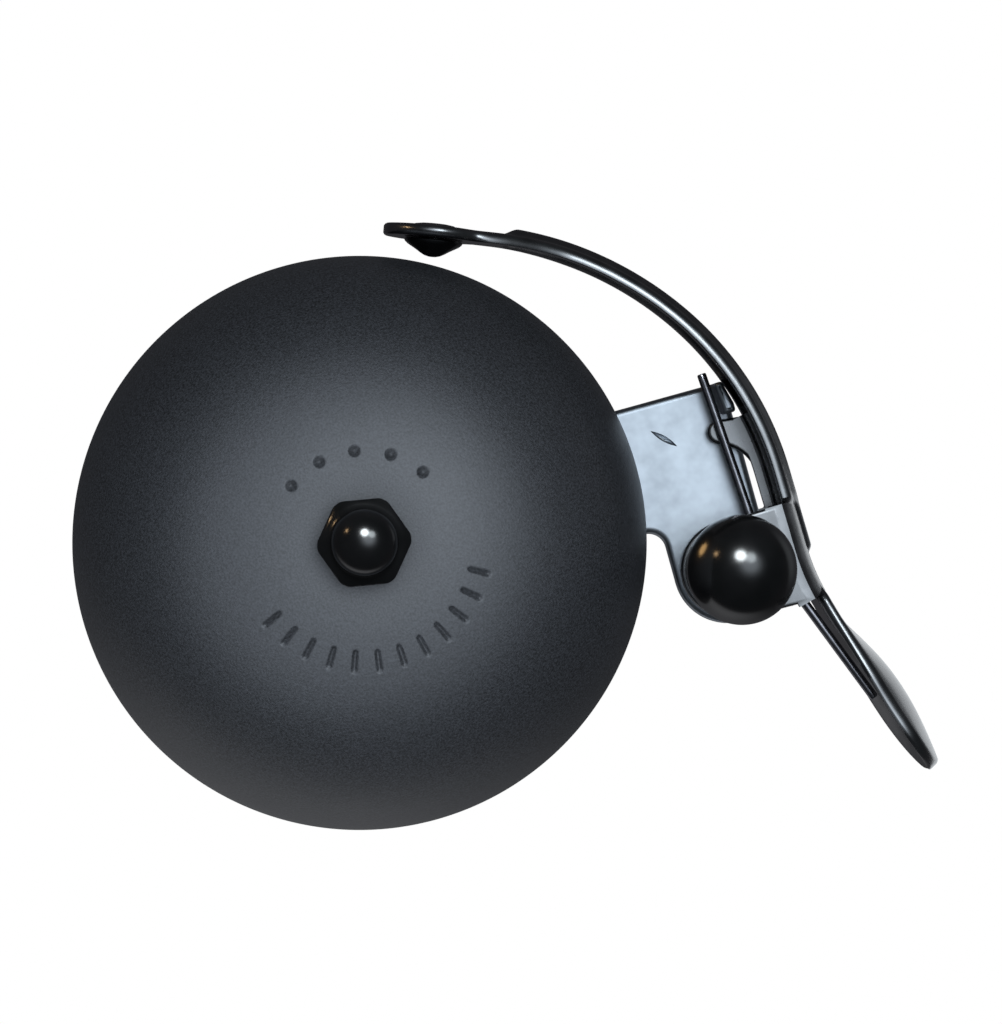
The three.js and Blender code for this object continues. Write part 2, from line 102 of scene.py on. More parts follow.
def fillet(points, radius, steps=4, closed=True, support=0.06):
    """Rounds the corners of a polyline and adds a point just outside each arc, so that the
    long flats between corners keep even shading."""
    result = []
    count = len(points)
    for i, point in enumerate(points):
        if not closed and i in (0, count - 1):
            result.append(point)
            continue
        corner = Vector(point)
        before = Vector(points[i - 1]) - corner
        after = Vector(points[(i + 1) % count]) - corner
        angle = before.angle(after)
        if angle > NEARLY_STRAIGHT:
            result.append(point)
            continue
        room = 0.45 * min(before.length, after.length)
        back = min(radius / math.tan(angle / 2), room)
        used = back * math.tan(angle / 2)
        bisector = (before.normalized() + after.normalized()).normalized()
        centre = corner + bisector * (used / math.sin(angle / 2))
        start = corner + before.normalized() * back
        end = corner + after.normalized() * back
        if back + support < 0.5 * before.length:
            result.append(tuple(corner + before.normalized() * (back + support)))
        first = start - centre
        turn = first.angle_signed(end - centre)
        for k in range(steps + 1):
            spoke = first.copy()
            spoke.rotate(Matrix.Rotation(-turn * k / steps, 2))
            result.append(tuple(centre + spoke))
        if back + support < 0.5 * after.length:
            result.append(tuple(corner + after.normalized() * (back + support)))
    return result


def mesh_from(name, verts, faces):
    """A mesh in metres from points in millimetres, smooth except across real edges."""
    mesh = bpy.data.meshes.new(name)
    mesh.from_pydata([(x * MM, y * MM, z * MM) for x, y, z in verts], [], faces)
    mesh.validate()
    mesh.update()
    mesh.shade_smooth()
    mesh.set_sharp_from_angle(angle=SHARP_ANGLE)
    return mesh


def revolve(name, profile, steps=96, radius_at=None, height_at=None):
    """Turns a profile of (radius, z) points about Z. A profile that starts and ends on the axis
    is capped there; any other closes on itself. radius_at and height_at may change a point by
    its angle."""
    open_ends = profile[0][0] < 1e-6 and profile[-1][0] < 1e-6
    rings = profile[1:-1] if open_ends else profile
    verts, faces = [], []
    for radius, z in rings:
        for i in range(steps):
            angle = TAU * i / steps
            reach = radius_at(radius, z, angle) if radius_at else radius
            height = height_at(radius, z, angle) if height_at else z
            verts.append((reach * math.cos(angle), reach * math.sin(angle), height))
    count = len(rings)
    for k in range(count - 1 if open_ends else count):
        low, high = k * steps, ((k + 1) % count) * steps
        for i in range(steps):
            j = (i + 1) % steps
            faces.append((low + i, low + j, high + j, high + i))
    if open_ends:
        first, last = len(verts), len(verts) + 1
        verts += [(0, 0, profile[0][1]), (0, 0, profile[-1][1])]
        top = (count - 1) * steps
        for i in range(steps):
            j = (i + 1) % steps
            faces.append((first, j, i))
            faces.append((last, top + i, top + j))
    return mesh_from(name, verts, faces)


def normals_2d(points):
    """Unit normals of a closed outline that runs anticlockwise, pointing out of it, with their
    lengths stretched at corners so that an offset keeps its width."""
    result = []
    count = len(points)
    for i, point in enumerate(points):
        here = Vector(point)
        first = (here - Vector(points[i - 1])).normalized()
        second = (Vector(points[(i + 1) % count]) - here).normalized()
        first_out, second_out = Vector((first.y, -first.x)), Vector((second.y, -second.x))
        middle = (first_out + second_out).normalized()
        result.append(middle / max(0.5, middle.dot(first_out)))
    return result


def area_2d(points):
    total = 0
    for i, (x, y) in enumerate(points):
        nx, ny = points[(i + 1) % len(points)]
        total += x * ny - nx * y
    return total / 2


def edge_levels(low, high, edge, steps):
    """(inset, z) pairs up the side of a plate, with a quarter round at each rim and one more
    step inwards on each face, which keeps the face's shading even."""
    support = 0.1
    turns = [math.pi / 2 * k / steps for k in range(steps + 1)]
    rim = [(edge * (1 - math.sin(a)), edge * (1 - math.cos(a))) for a in turns]
    levels = [(edge + support, low)]
    levels += [(inset, low + rise) for inset, rise in rim]
    levels += [(inset, high - drop) for inset, drop in rim[::-1]]
    return levels + [(edge + support, high)]


def cap_faces(verts, loops, faces_up):
    """Triangles between an outline and its holes, each a loop of vertex numbers."""
    numbers = [number for loop in loops for number in loop]
    outlines = [[Vector((verts[i][0], verts[i][1], 0)) for i in loop] for loop in loops]
    faces = []
    for corners in tessellate_polygon(outlines):
        triangle = [numbers[corner] for corner in corners]
        first, second, third = (Vector(verts[i]) for i in triangle)
        upward = (second - first).cross(third - first).z > 0
        faces.append(tuple(triangle if upward == faces_up else triangle[::-1]))
    return faces


def plate(name, outline, low, high, holes=(), edge=0.3, steps=4, place=None):
    """A flat plate with rounded edges. The outline and the holes are lists of (x, y) points, and
    place may turn each finished point to where the plate stands."""
    levels = edge_levels(low, high, edge, steps)
    loops = [outline if area_2d(outline) > 0 else outline[::-1]]
    loops += [hole if area_2d(hole) < 0 else hole[::-1] for hole in holes]
    verts, faces, bottom, top = [], [], [], []
    for loop in loops:
        normals = normals_2d(loop)
        start, count = len(verts), len(loop)
        for inset, z in levels:
            for (x, y), normal in zip(loop, normals):
                verts.append((x - normal.x * inset, y - normal.y * inset, z))
        for level in range(len(levels) - 1):
            a, b = start + level * count, start + (level + 1) * count
            for i in range(count):
                j = (i + 1) % count
                faces.append((a + i, a + j, b + j, b + i))
        bottom.append(range(start, start + count))
        top.append(range(len(verts) - count, len(verts)))
    faces += cap_faces(verts, bottom, False)
    faces += cap_faces(verts, top, True)
    if place:
        verts = [place(*point) for point in verts]
    return mesh_from(name, verts, faces)


def loft(name, sections):
    """Joins closed sections, each a list of as many points, and caps both ends."""
    size = len(sections[0])
    verts = [point for section in sections for point in section]
    faces = []
    for k in range(len(sections) - 1):
        for i in range(size):
            j = (i + 1) % size
            faces.append((k * size + i, k * size + j, (k + 1) * size + j, (k + 1) * size + i))
    last = (len(sections) - 1) * size
    faces.append(tuple(range(size - 1, -1, -1)))
    faces.append(tuple(range(last, last + size)))
    return mesh_from(name, verts, faces)


def piece(name, meshes, node, body, finish):
    """One shown object, of one mesh or a list of them, that stands for a CAD node and rides on
    its body. A finish is the record's material slot, which nothing here reads, and the material itself."""
    meshes = meshes if isinstance(meshes, list) else [meshes]
    slot, material = finish
    obj = bpy.data.objects.new(name, meshes[0])
    bpy.context.scene.collection.objects.link(obj)
    for other in meshes[1:]:
        combine(obj, other, "UNION")
    obj.data.materials.clear()
    obj.data.materials.append(material)
    if body:
        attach(obj, body)
    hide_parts(node)
    return obj


def combine(obj, other_mesh, operation):
    """Joins another mesh to an object's mesh, or cuts it away, with an exact boolean."""
    other = bpy.data.objects.new("tool", other_mesh)
    bpy.context.scene.collection.objects.link(other)
    modifier = obj.modifiers.new("join", "BOOLEAN")
    modifier.operation = operation
    modifier.solver = "EXACT"
    modifier.object = other
    graph = bpy.context.evaluated_depsgraph_get()
    result = bpy.data.meshes.new_from_object(obj.evaluated_get(graph))
    obj.modifiers.clear()
    obj.data = result
    result.shade_smooth()
    result.set_sharp_from_angle(angle=SHARP_ANGLE)
    bpy.data.objects.remove(other)


def cut(obj, other_mesh):
    combine(obj, other_mesh, "DIFFERENCE")


def moved(mesh, matrix):
    mesh.transform(matrix)
    return mesh


def at(x, y, z=0):
    return Matrix.Translation((x * MM, y * MM, z * MM))


ALONG_X = Matrix.Rotation(math.radians(90), 4, "Y")

# ------ materials


def give(tree, socket, value):
    """Links an output to a socket, or sets the socket's own value. A colour needs no alpha."""
    if isinstance(value, bpy.types.NodeSocket):
        tree.links.new(value, socket)
    elif socket.type == "RGBA":
        socket.default_value = (*value, 1)
    else:
        socket.default_value = value


def new_node(tree, kind, inputs, **settings):
    node = tree.nodes.new(kind)
    for key, value in settings.items():
        setattr(node, key, value)
    for key, value in inputs.items():
        give(tree, node.inputs[key], value)
    return node


def mix_colours(tree, factor, first, second):
    """The first colour where the factor is 0, the second where it is 1."""
    colours = {0: factor, 6: first, 7: second}
    return new_node(tree, "ShaderNodeMix", colours, data_type="RGBA").outputs[2]


class Finish:
    """A material under way, with one shader and the noises that vary it."""

    def __init__(self, name, metallic=0.0):
        self.material = bpy.data.materials.new(name)
        self.material.use_nodes = True
        self.tree = self.material.node_tree
        self.set("Metallic", metallic)

    def set(self, key, value):
        give(self.tree, self.tree.nodes["Principled BSDF"].inputs[key], value)

    def noise(self, size_mm, detail=2):
        """Noise whose blobs are about that many millimetres across."""
        place = new_node(self.tree, "ShaderNodeTexCoord", {}).outputs["Object"]
        settings = {"Vector": place, "Scale": 1 / (size_mm * MM), "Detail": detail}
        return new_node(self.tree, "ShaderNodeTexNoise", settings).outputs["Fac"]

    def span(self, noise, low, high):
        """Spreads the middle of a noise's range between two values."""
        settings = {"Value": noise, "From Min": 0.3, "From Max": 0.7, "To Min": low, "To Max": high}
        return new_node(self.tree, "ShaderNodeMapRange", settings).outputs[0]

    def colour(self, noise, dark, light):
        self.set("Base Color", mix_colours(self.tree, self.span(noise, 0, 1), dark, light))

    def roughness(self, noise, low, high):
        self.set("Roughness", self.span(noise, low, high))

    def bump(self, *layers):
        """Stacks bumps, each given as a noise and its depth in millimetres."""
        settings = {"Strength": 1.0}
        for noise, depth in layers:
            settings |= {"Height": noise, "Distance": depth * MM}
            settings["Normal"] = new_node(self.tree, "ShaderNodeBump", settings).outputs[0]
        self.set("Normal", settings["Normal"])


def dome_paint():
    """Matte powder coat: a fine even grain that scatters the light, and a soft bluish black."""
    paint = Finish("matte_powder_coat")
    grain = paint.noise(0.2)
    paint.colour(grain, (0.002, 0.0021, 0.0024), (0.024, 0.025, 0.0275))
    paint.roughness(paint.noise(9), 0.46, 0.50)
    paint.set("Specular IOR Level", 0.66)
    paint.bump((grain, 0.02))
    return paint.material


def gloss_black():
    """Glossy black paint over a turned part, with a faint orange peel."""
    paint = Finish("gloss_black")
    tone = paint.noise(3)
    paint.colour(tone, (0.0015, 0.0016, 0.0017), (0.003, 0.003, 0.0033))
    paint.roughness(tone, 0.17, 0.21)
    paint.bump((paint.noise(0.8), 0.002))
    return paint.material


def black_plate(name, tint, dullest):
    """Black-plated pressed steel: reflective, a little wavy from the press, softly mottled. Its tint is
    set per part: lighter and bluish on the bracket as painted light, darker on the lever as painted
    shade.
    """
    plating = Finish(name, metallic=1.0)
    mottle = plating.noise(1.9)
    plating.colour(mottle, tuple(0.72 * part for part in tint), tint)
    plating.roughness(mottle, dullest - 0.06, dullest)
    plating.bump((plating.noise(4.5), 0.03), (mottle, 0.004))
    return plating.material


def grained(name, metallic, size_mm, detail, dark, light, roughness, depth):
    """A finish whose colour, roughness and bump all follow one grain."""
    finish = Finish(name, metallic)
    grain = finish.noise(size_mm, detail)
    finish.colour(grain, dark, light)
    finish.roughness(grain, *roughness)
    finish.bump((grain, depth))
    return finish.material


def spring_wire():
    return grained("spring_wire", 1.0, 1.2, 2, (0.15, 0.15, 0.165), (0.20, 0.20, 0.22),
                   roughness=(0.24, 0.3), depth=0.004)


def zinc_plate():
    return grained("zinc_plate", 1.0, 0.5, 4, (0.48, 0.49, 0.50), (0.62, 0.63, 0.64),
                   roughness=(0.28, 0.40), depth=0.003)


def nylon():
    return grained("black_nylon", 0.0, 0.4, 3, (0.022, 0.022, 0.024), (0.034, 0.034, 0.036),
                   roughness=(0.42, 0.52), depth=0.004)


def rubber():
    return grained("rubber", 0.0, 0.3, 4, (0.014, 0.014, 0.015), (0.026, 0.026, 0.027),
                   roughness=(0.72, 0.86), depth=0.02)


DOME_PAINT = ("dome_paint", dome_paint())
GLOSS_BLACK = ("black_gloss", gloss_black())
# One plating for the bracket, the strap and the lever: the bracket's lighter, bluish tint is painted
# light, and the lever's darker tint is painted shade.
BRACKET_PLATING_PAINTED_LIGHT = ("black_bracket", black_plate("black_plate_bracket_painted_light", (0.36, 0.39, 0.425), 0.38))
LEVER_PLATING_PAINTED_SHADE = ("black_lever", black_plate("black_plate_lever_painted_shade", (0.19, 0.192, 0.196), 0.30))
SPRING_WIRE = ("spring_wire", spring_wire())
ZINC = ("plated_steel", zinc_plate())
NYLON = ("nylon", nylon())
RUBBER = ("rubber", rubber())

# ------ dome

DOME_WALL = 1.3
DOME_SKIRT = 1.5
DOME_SEAT = 5.5
DOME_RISE = DOME_TOP_Z - DOME_RIM_Z - DOME_SKIRT
BOLT_HOLE = 2.75

# The pressed marks: round dimples on one side of the nut and short grooves on the other, from
# one angle to another. The shell's mesh is finer across their radii.
MARK_SLOPE = 0.75
MARK_REACH = 1.6
MARK_RADII = (6.8, 12.9)
MARK_STEP = 0.12
DOTS = {"radius": 8.4, "start": 34.5, "end": 126.5, "count": 5, "long": 0.0, "wide": 0.6}
BARS = {"radius": 10.9, "start": 204.5, "end": 330.5, "count": 12, "long": 0.8, "wide": 0.34}


def dome_curve(wall, steps):
    """The dome's quarter ellipse, drawn in by the wall, from the skirt up to the flat seat."""
    across = DOME_RADIUS - wall - DOME_SEAT
    points = []
    for i in range(steps + 1):
        angle = math.pi / 2 * i / steps
        z = DOME_RIM_Z + DOME_SKIRT + (DOME_RISE - wall) * math.sin(angle)
        points.append((DOME_SEAT + across * math.cos(angle), z))
    return points


def outer_height(radius):
    """The height of the dome's outer face at a radius."""
    share = min(1.0, max(0.0, (radius - DOME_SEAT) / (DOME_RADIUS - DOME_SEAT)))
    return DOME_RIM_Z + DOME_SKIRT + DOME_RISE * math.sqrt(1 - share * share)


def mark_depth(radius, angle):
    """How deep the marks are pressed at a place on the dome."""
    depth = 0.0
    for row in (DOTS, BARS):
        if abs(radius - row["radius"]) > MARK_REACH:
            continue
        for k in range(row["count"]):
            centre = row["start"] + (row["end"] - row["start"]) * k / (row["count"] - 1)
            turn = (angle - math.radians(centre) + math.pi) % TAU - math.pi
            outward = max(0.0, abs(radius - row["radius"]) - row["long"])
            away = math.hypot(outward, turn * row["radius"])
            share = max(0.0, 1 - away / row["wide"])
            depth = max(depth, MARK_SLOPE * row["wide"] * share)
    return depth


def fine_dome_curve():
    """The outer curve, divided further where the marks are."""
    outer = dome_curve(0, 60)
    points = []
    for (r1, z1), (r2, z2) in zip(outer, outer[1:]):
        marked = MARK_RADII[0] < (r1 + r2) / 2 < MARK_RADII[1]
        parts = max(1, round((r1 - r2) / MARK_STEP)) if marked else 1
        points += [(r1 + (r2 - r1) * k / parts, z1 + (z2 - z1) * k / parts) for k in range(parts)]
    return points + outer[-1:]


def bell_dome():
    """The shell: outside from the rim to the bolt hole, then back down the inside."""
    rim_inner, rim_top = DOME_RADIUS - DOME_WALL, DOME_RIM_Z + 1.2
    rim = fillet([(DOME_RADIUS, rim_top), (DOME_RADIUS, DOME_RIM_Z), (rim_inner, DOME_RIM_Z),
                  (rim_inner, rim_top)], 0.5, 6, closed=False)
    hole = [(BOLT_HOLE + 0.2, DOME_TOP_Z), (BOLT_HOLE, DOME_TOP_Z - 0.2),
            (BOLT_HOLE, DOME_TOP_Z - DOME_WALL)]
    profile = fine_dome_curve() + hole + dome_curve(DOME_WALL, 30)[::-1] + rim[::-1]

    def pressed(radius, z, angle):
        on_outside = z > outer_height(radius) - DOME_WALL / 2
        return z - mark_depth(radius, angle) if on_outside else z

    return revolve("bell_dome", profile, 720, height_at=pressed)


dome = piece("dome_shell", bell_dome(), "bell_dome", "bell", DOME_PAINT)

# ------ nuts, bolts and washers


def hex_radius(across_flats, angle, turn=0.0, corner=0.25):
    """Distance from the middle of a hexagon to its side at an angle, with eased corners."""
    sixth = TAU / 6
    local = (angle - math.radians(turn) + sixth / 2) % sixth - sixth / 2
    flat = across_flats / 2
    sharp = flat / math.cos(sixth / 2 - abs(local))
    return min(sharp, flat / math.cos(sixth / 2) - corner)


def soft_min(a, b, width=0.12):
    """The smaller of two values, with the change from one to the other eased."""
    share = max(0.0, min(1.0, 0.5 + (b - a) / (2 * width)))
    return b + (a - b) * share - width * share * (1 - share)


def hex_nut(name, across_flats, low, high, bore, turn=0.0):
    """A plain nut: chamfered hexagon outside, round bore with chamfered mouths."""
    corner = across_flats / math.sqrt(3) + 0.05
    face = across_flats / 2 * 0.96
    chamfer, mouth = 0.55, 0.3
    profile = [(bore + mouth, low), (face, low), (corner, low + chamfer)]
    profile += [(corner, low + (high - low) * k / 6) for k in range(1, 6)]
    profile += [(corner, high - chamfer), (face, high), (bore + mouth, high)]
    profile += [(bore, high - mouth), (bore, low + mouth)]

    def side(radius, z, angle):
        if radius < across_flats / 2 * 0.9:
            return radius
        return soft_min(radius, hex_radius(across_flats, angle, turn))

    return revolve(name, profile, 144, radius_at=side)


def washer(name, inner, outer, low, high, edge=0.12):
    corners = [(inner, low), (outer, low), (outer, high), (inner, high)]
    return revolve(name, fillet(corners, edge, 3, support=0.05), 96)


def threaded(name, below, above, shaft, low, high, pitch, depth):
    """A turned part with a helical thread between two heights. Below and above are the rest of
    its profile."""
    rows = max(4, int((high - low) / pitch * 10))
    thread = [(shaft, low + (high - low) * k / rows) for k in range(rows + 1)]

    def screw_radius(radius, z, angle):
        if not low <= z <= high or radius <= 0.5:
            return radius
        phase = (z / pitch - angle / TAU) % 1.0
        groove = 1 - abs(2 * phase - 1)
        fade = min(1.0, (z - low) / (0.6 * pitch), (high - z) / (0.6 * pitch))
        return radius - depth * groove * max(0.0, fade)

    return revolve(name, below + thread + above, 72, radius_at=screw_radius)


STRAP_THICK = 1.2
NUT_TURN = -10
NUT_RIM = 4.28


def acorn_nut():
    """The domed cap nut: a chamfered hexagon, a shoulder, and a round cap. Its rim is a little
    wider than the CAD nut's."""
    low, high = z_span("acorn_nut")
    hex_top = low + 3.4
    shoulder, cap_radius, cap_low = 3.35, 3.1, hex_top + 0.2
    profile = [(BOLT_HOLE, low + 0.25), (BOLT_HOLE + 0.25, low), (3.6, low)]
    profile += [(NUT_RIM - 0.25, low + 0.1)]
    profile += [(NUT_RIM, low + 0.45 + 2.2 * k / 8) for k in range(9)]
    profile += [(NUT_RIM - 0.03, hex_top - 0.68), (NUT_RIM - 0.09, hex_top - 0.63)]
    for share in (1.0, 0.8, 0.6, 0.4, 0.2):
        radius = shoulder + (NUT_RIM - 0.15 - shoulder) * share
        profile.append((radius, hex_top - 0.1 - 0.5 * share ** 1.15))
    profile += [(shoulder - 0.1, hex_top - 0.06), (cap_radius + 0.03, hex_top + 0.06)]
    for k in range(1, 22):
        angle = math.pi / 2 * k / 22
        z = cap_low + (high - cap_low) * math.sin(angle)
        profile.append((cap_radius * math.cos(angle), z))
    profile.append((0, high))
    bore = [(0, low + 4.2), (BOLT_HOLE - 0.4, low + 4.2), (BOLT_HOLE, low + 3.9)]

    def side(radius, z, angle):
        if radius < shoulder - 0.05:
            return radius
        return soft_min(radius, hex_radius(7.8, angle, NUT_TURN, 0.02))

    return revolve("acorn_nut", bore + profile, 192, radius_at=side)


def centre_bolt():
    """A low round head under the strap, and a threaded shaft up into the cap nut."""
    low, high = z_span("centre_bolt")
    head_top = STRAP_TOP_Z - STRAP_THICK
    shaft = 2.45
    below = [(0, low), (2.0, low), (4.3, low + 0.05), (4.62, low + 0.2), (4.7, low + 0.45)]
    below += [(4.7, head_top - 0.05), (4.65, head_top), (shaft, head_top), (shaft, head_top + 1)]
    above = [(shaft - 0.45, high - 0.05), (0, high)]
    return threaded("centre_bolt", below, above, shaft, head_top + 1.2, high - 0.5, 0.8, 0.4)


def ring(name, node, inner, outer, edge, finish, place=Matrix()):
    """A washer or a tube as tall as its CAD node."""
    shape = washer(name, inner, outer, *z_span(node), edge)
    return piece(name, moved(shape, place), node, "bell", finish)


jam_nut = hex_nut("jam_nut", 8, *z_span("bracket_jam_nut"), BOLT_HOLE, 10)
piece("cap_nut", acorn_nut(), "acorn_nut", "bell", GLOSS_BLACK)
piece("centre_bolt_body", centre_bolt(), "centre_bolt", "bell", ZINC)
ring("lock_washer", "bracket_lock_washer", BOLT_HOLE, 4.6, 0.15, ZINC)
piece("jam_nut", jam_nut, "bracket_jam_nut", "bell", ZINC)
ring("spacer_tube", "dome_spacer", BOLT_HOLE, 4.4, 0.25, ZINC)
ring("dome_rubber_washer", "dome_washer", BOLT_HOLE, 5.2, 0.2, RUBBER)

# ------ bracket plate

PLATE_UPPER_Y = node_box("bracket")[1].y
PLATE_LOWER_Y = -6.6
PLATE_LEFT_X = node_box("bracket")[0].x
PLATE_RIGHT_X = 38.2
LOBE_RADIUS = 5.25
STUD_HOLE = 2.3
TAB_INNER_X = 36.8
TAB_FOOT_Y = 2.55
SLIT_MIDDLE = Vector((31.1, 1.85))
SLIT_TURN = 45


def circle(x, y, radius, steps=48):
    return arc(x, y, radius, 0, 360, steps)[:-1]


def bracket_outline():
    """A plate with a round lobe under the pivot, from its lower left corner round."""
    lobe_left = PIVOT_X - LOBE_RADIUS
    inner_corner, bend, shoulder, outer_corner = 1.5, 1.7, 0.8, 0.7
    left = PLATE_LEFT_X + inner_corner
    points = arc(left, PLATE_LOWER_Y + inner_corner, inner_corner, 180, 270, 6)
    points += arc(lobe_left - bend, PLATE_LOWER_Y - bend, bend, 90, 0, 10)
    points += arc(PIVOT_X, PIVOT_Y, LOBE_RADIUS, 180, 328, 40)
    points += arc(PLATE_RIGHT_X - shoulder, PIVOT_Y + 3.2, shoulder, -20, 0, 3)
    points += arc(PLATE_RIGHT_X - outer_corner, PLATE_UPPER_Y - outer_corner, outer_corner, 0, 90, 5)
    points += arc(left, PLATE_UPPER_Y - inner_corner, inner_corner, 90, 180, 6)
    return points


def stop_tab():
    corners = [(TAB_INNER_X + 0.25, TAB_FOOT_Y), (PLATE_RIGHT_X, TAB_FOOT_Y),
               (PLATE_RIGHT_X, TAB_FOOT_Y + 0.85), (TAB_INNER_X + 0.8, PLATE_UPPER_Y),
               (TAB_INNER_X, PLATE_UPPER_Y)]
    outline = fillet(corners, 0.3, 4, support=0.03)
    return plate("stop_tab", outline, PLATE_TOP_Z - 0.9, STOP_TAB_TOP_Z, edge=0.4)


def slit_cutter():
    """A thin lens that cuts a shallow slit in the plate beside the dome."""
    half_length, bulge, depth, points_per_side = 1.5, 0.27, 0.7, 12
    turn = Matrix.Rotation(math.radians(SLIT_TURN), 2)
    lens = []
    for side in (1, -1):
        for k in range(points_per_side):
            along = side * (1 - 2 * k / points_per_side)
            across = side * bulge * (1 - along * along)
            lens.append(tuple(SLIT_MIDDLE + Vector((along * half_length, across)) @ turn))
    return plate("slit_cutter", lens, PLATE_TOP_Z - depth, PLATE_TOP_Z + 1, edge=0.25, steps=3)


def bracket():
    holes = [circle(0, 0, BOLT_HOLE), circle(PIVOT_X, PIVOT_Y, STUD_HOLE)]
    base = plate("bracket", bracket_outline(), PLATE_LOW_Z, PLATE_TOP_Z, holes, edge=0.6, steps=6)
    return [base, stop_tab()]


plate_piece = piece("bracket_plate", bracket(), "bracket", "bell", BRACKET_PLATING_PAINTED_LIGHT)
cut(plate_piece, slit_cutter())

# ------ handlebar clamp

STRAP_INNER = 12.3
CLAMP_HALF = node_box("clamp_strap")[1].y
LUG_INNER_X = 2.5
SCREW_HOLE = 2.2
SCREW_Z = sum(z_span("clamp_washer")) / 2
LINER_INNER = 11.1
HEAD_POCKET = 5.1
HEAD_POCKET_Z = 11.75


def along_bar(x, z, y):
    """Stands a plate up across the handlebar, which runs along Y."""
    return (x, -y, z)


def flat_topped(radius, top, half_top, start):
    """An arc up the right side of the bar, a flat top, and the same arc down the left."""
    tangent = math.degrees(math.atan2(top, half_top) - math.acos(radius / math.hypot(half_top, top)))
    side = arc(0, 0, radius, start, tangent, 40)
    corner = fillet([side[-1], (half_top, top), (0, top)], 1.6, 6, closed=False)
    points = side[:-1] + corner[:-1]
    return points + [(-x, z) for x, z in points[::-1]]


def clamp_strap():
    """The band round the liner, whose two ends turn down into lugs for the screw."""
    outer_radius = STRAP_INNER + STRAP_THICK
    lug_outer = LUG_INNER_X + STRAP_THICK
    outer_start = -90 + math.degrees(math.asin(lug_outer / outer_radius)) + 5
    inner_start = -90 + math.degrees(math.asin(LUG_INNER_X / STRAP_INNER)) + 4
    outer = flat_topped(outer_radius, STRAP_TOP_Z, 7.2, outer_start)
    inner = flat_topped(STRAP_INNER, STRAP_TOP_Z - STRAP_THICK, 6.6, inner_start)
    neck_z = -outer_radius - 0.5
    right = [(LUG_INNER_X, neck_z - 0.3), (LUG_INNER_X, LUG_LOW_Z), (lug_outer, LUG_LOW_Z),
             (lug_outer, neck_z)]
    left = [(-x, z) for x, z in right[::-1]]
    outline = right + outer + left + inner[::-1]
    return plate("clamp_strap", outline, -CLAMP_HALF, CLAMP_HALF, place=along_bar)


def clamp_liner():
    inner = arc(0, 0, LINER_INNER, 248, -68, 90)
    outer = flat_topped(STRAP_INNER - 0.1, STRAP_TOP_Z - STRAP_THICK - 0.1, 6.5, -68)
    return plate("clamp_liner", outer + inner, -CLAMP_HALF, CLAMP_HALF, edge=0.25, steps=3,
                 place=along_bar)


def lug_corner(side):
    """The waste outside a lug's rounded lower corner, on the +Y or the -Y side."""
    radius, margin, half_thick = 3.6, 1, 6
    middle_y, middle_z = CLAMP_HALF - radius, LUG_LOW_Z + radius
    outer_y, lower_z = CLAMP_HALF + margin, LUG_LOW_Z - margin
    points = [(outer_y, middle_z)] + arc(middle_y, middle_z, radius, 0, -90, 12)
    points += [(middle_y, lower_z), (outer_y, lower_z)]
    outline = [(side * y, z) for y, z in points]
    return plate("lug_corner", outline, -half_thick, half_thick, edge=0.01, steps=1,
                 place=lambda y, z, x: (x, y, z))


def round_cutter(radius, low, high):
    return revolve("cutter", [(0, low), (radius, low), (radius, high), (0, high)], 64)


def clamp_screw():
    """The screw, drawn along Z: a round head, and a thread that ends in the nut."""
    low, high = (corner.x for corner in node_box("clamp_screw"))
    head_top = -(LUG_INNER_X + STRAP_THICK)
    head, dome_height, shaft = 3.5, 1.5, 1.9
    below = [(0, low)]
    for k in range(1, 13):
        angle = math.pi / 2 * k / 12
        below.append((head * math.sin(angle), low + dome_height * (1 - math.cos(angle))))
    below += [(head, head_top - 0.12), (head - 0.1, head_top), (shaft, head_top)]
    above = [(shaft - 0.4, high), (0, high)]
    return threaded("clamp_screw", below, above, shaft, head_top + 0.6, high - 0.5, 0.7, 0.32)


def screw_slot():
    """A tapered bar that cuts the driver's slot in the screw's head."""
    mouth = node_box("clamp_screw")[0].x - 0.5
    floor = mouth + 2
    outline = [(-2.0, mouth), (2.0, mouth), (1.2, floor), (-1.2, floor)]
    return plate("screw_slot", outline, -0.36, 0.36, edge=0.02, steps=1,
                 place=lambda x, y, z: (z, x, y))


ACROSS = at(0, 0, SCREW_Z) @ ALONG_X
strap = piece("strap_band", clamp_strap(), "clamp_strap", "bell", BRACKET_PLATING_PAINTED_LIGHT)
for side in (1, -1):
    cut(strap, lug_corner(side))
cut(strap, round_cutter(BOLT_HOLE, 10, 20))
cut(strap, moved(round_cutter(SCREW_HOLE, -8, 8), ACROSS))
liner = piece("liner_band", clamp_liner(), "clamp_liner", "bell", RUBBER)
cut(liner, round_cutter(HEAD_POCKET, HEAD_POCKET_Z, 16))
screw = piece("strap_screw", clamp_screw(), "clamp_screw", "bell", ZINC)
cut(screw, screw_slot())
screw.data.transform(ACROSS)
washer_span = [corner.x for corner in node_box("clamp_washer")]
nut_span = [corner.x for corner in node_box("clamp_nut")]
strap_washer = moved(washer("strap_washer", SCREW_HOLE, 4.4, *washer_span), ACROSS)
strap_nut = moved(hex_nut("strap_nut", 7, *nut_span, SCREW_HOLE, 30), ACROSS)
piece("strap_washer", strap_washer, "clamp_washer", "bell", ZINC)
piece("strap_nut", strap_nut, "clamp_nut", "bell", ZINC)

# ------ pivot stack

AT_PIVOT = at(PIVOT_X, PIVOT_Y)
BALL_RADIUS = (node_box("ball_knob")[1].x - node_box("ball_knob")[0].x) / 2


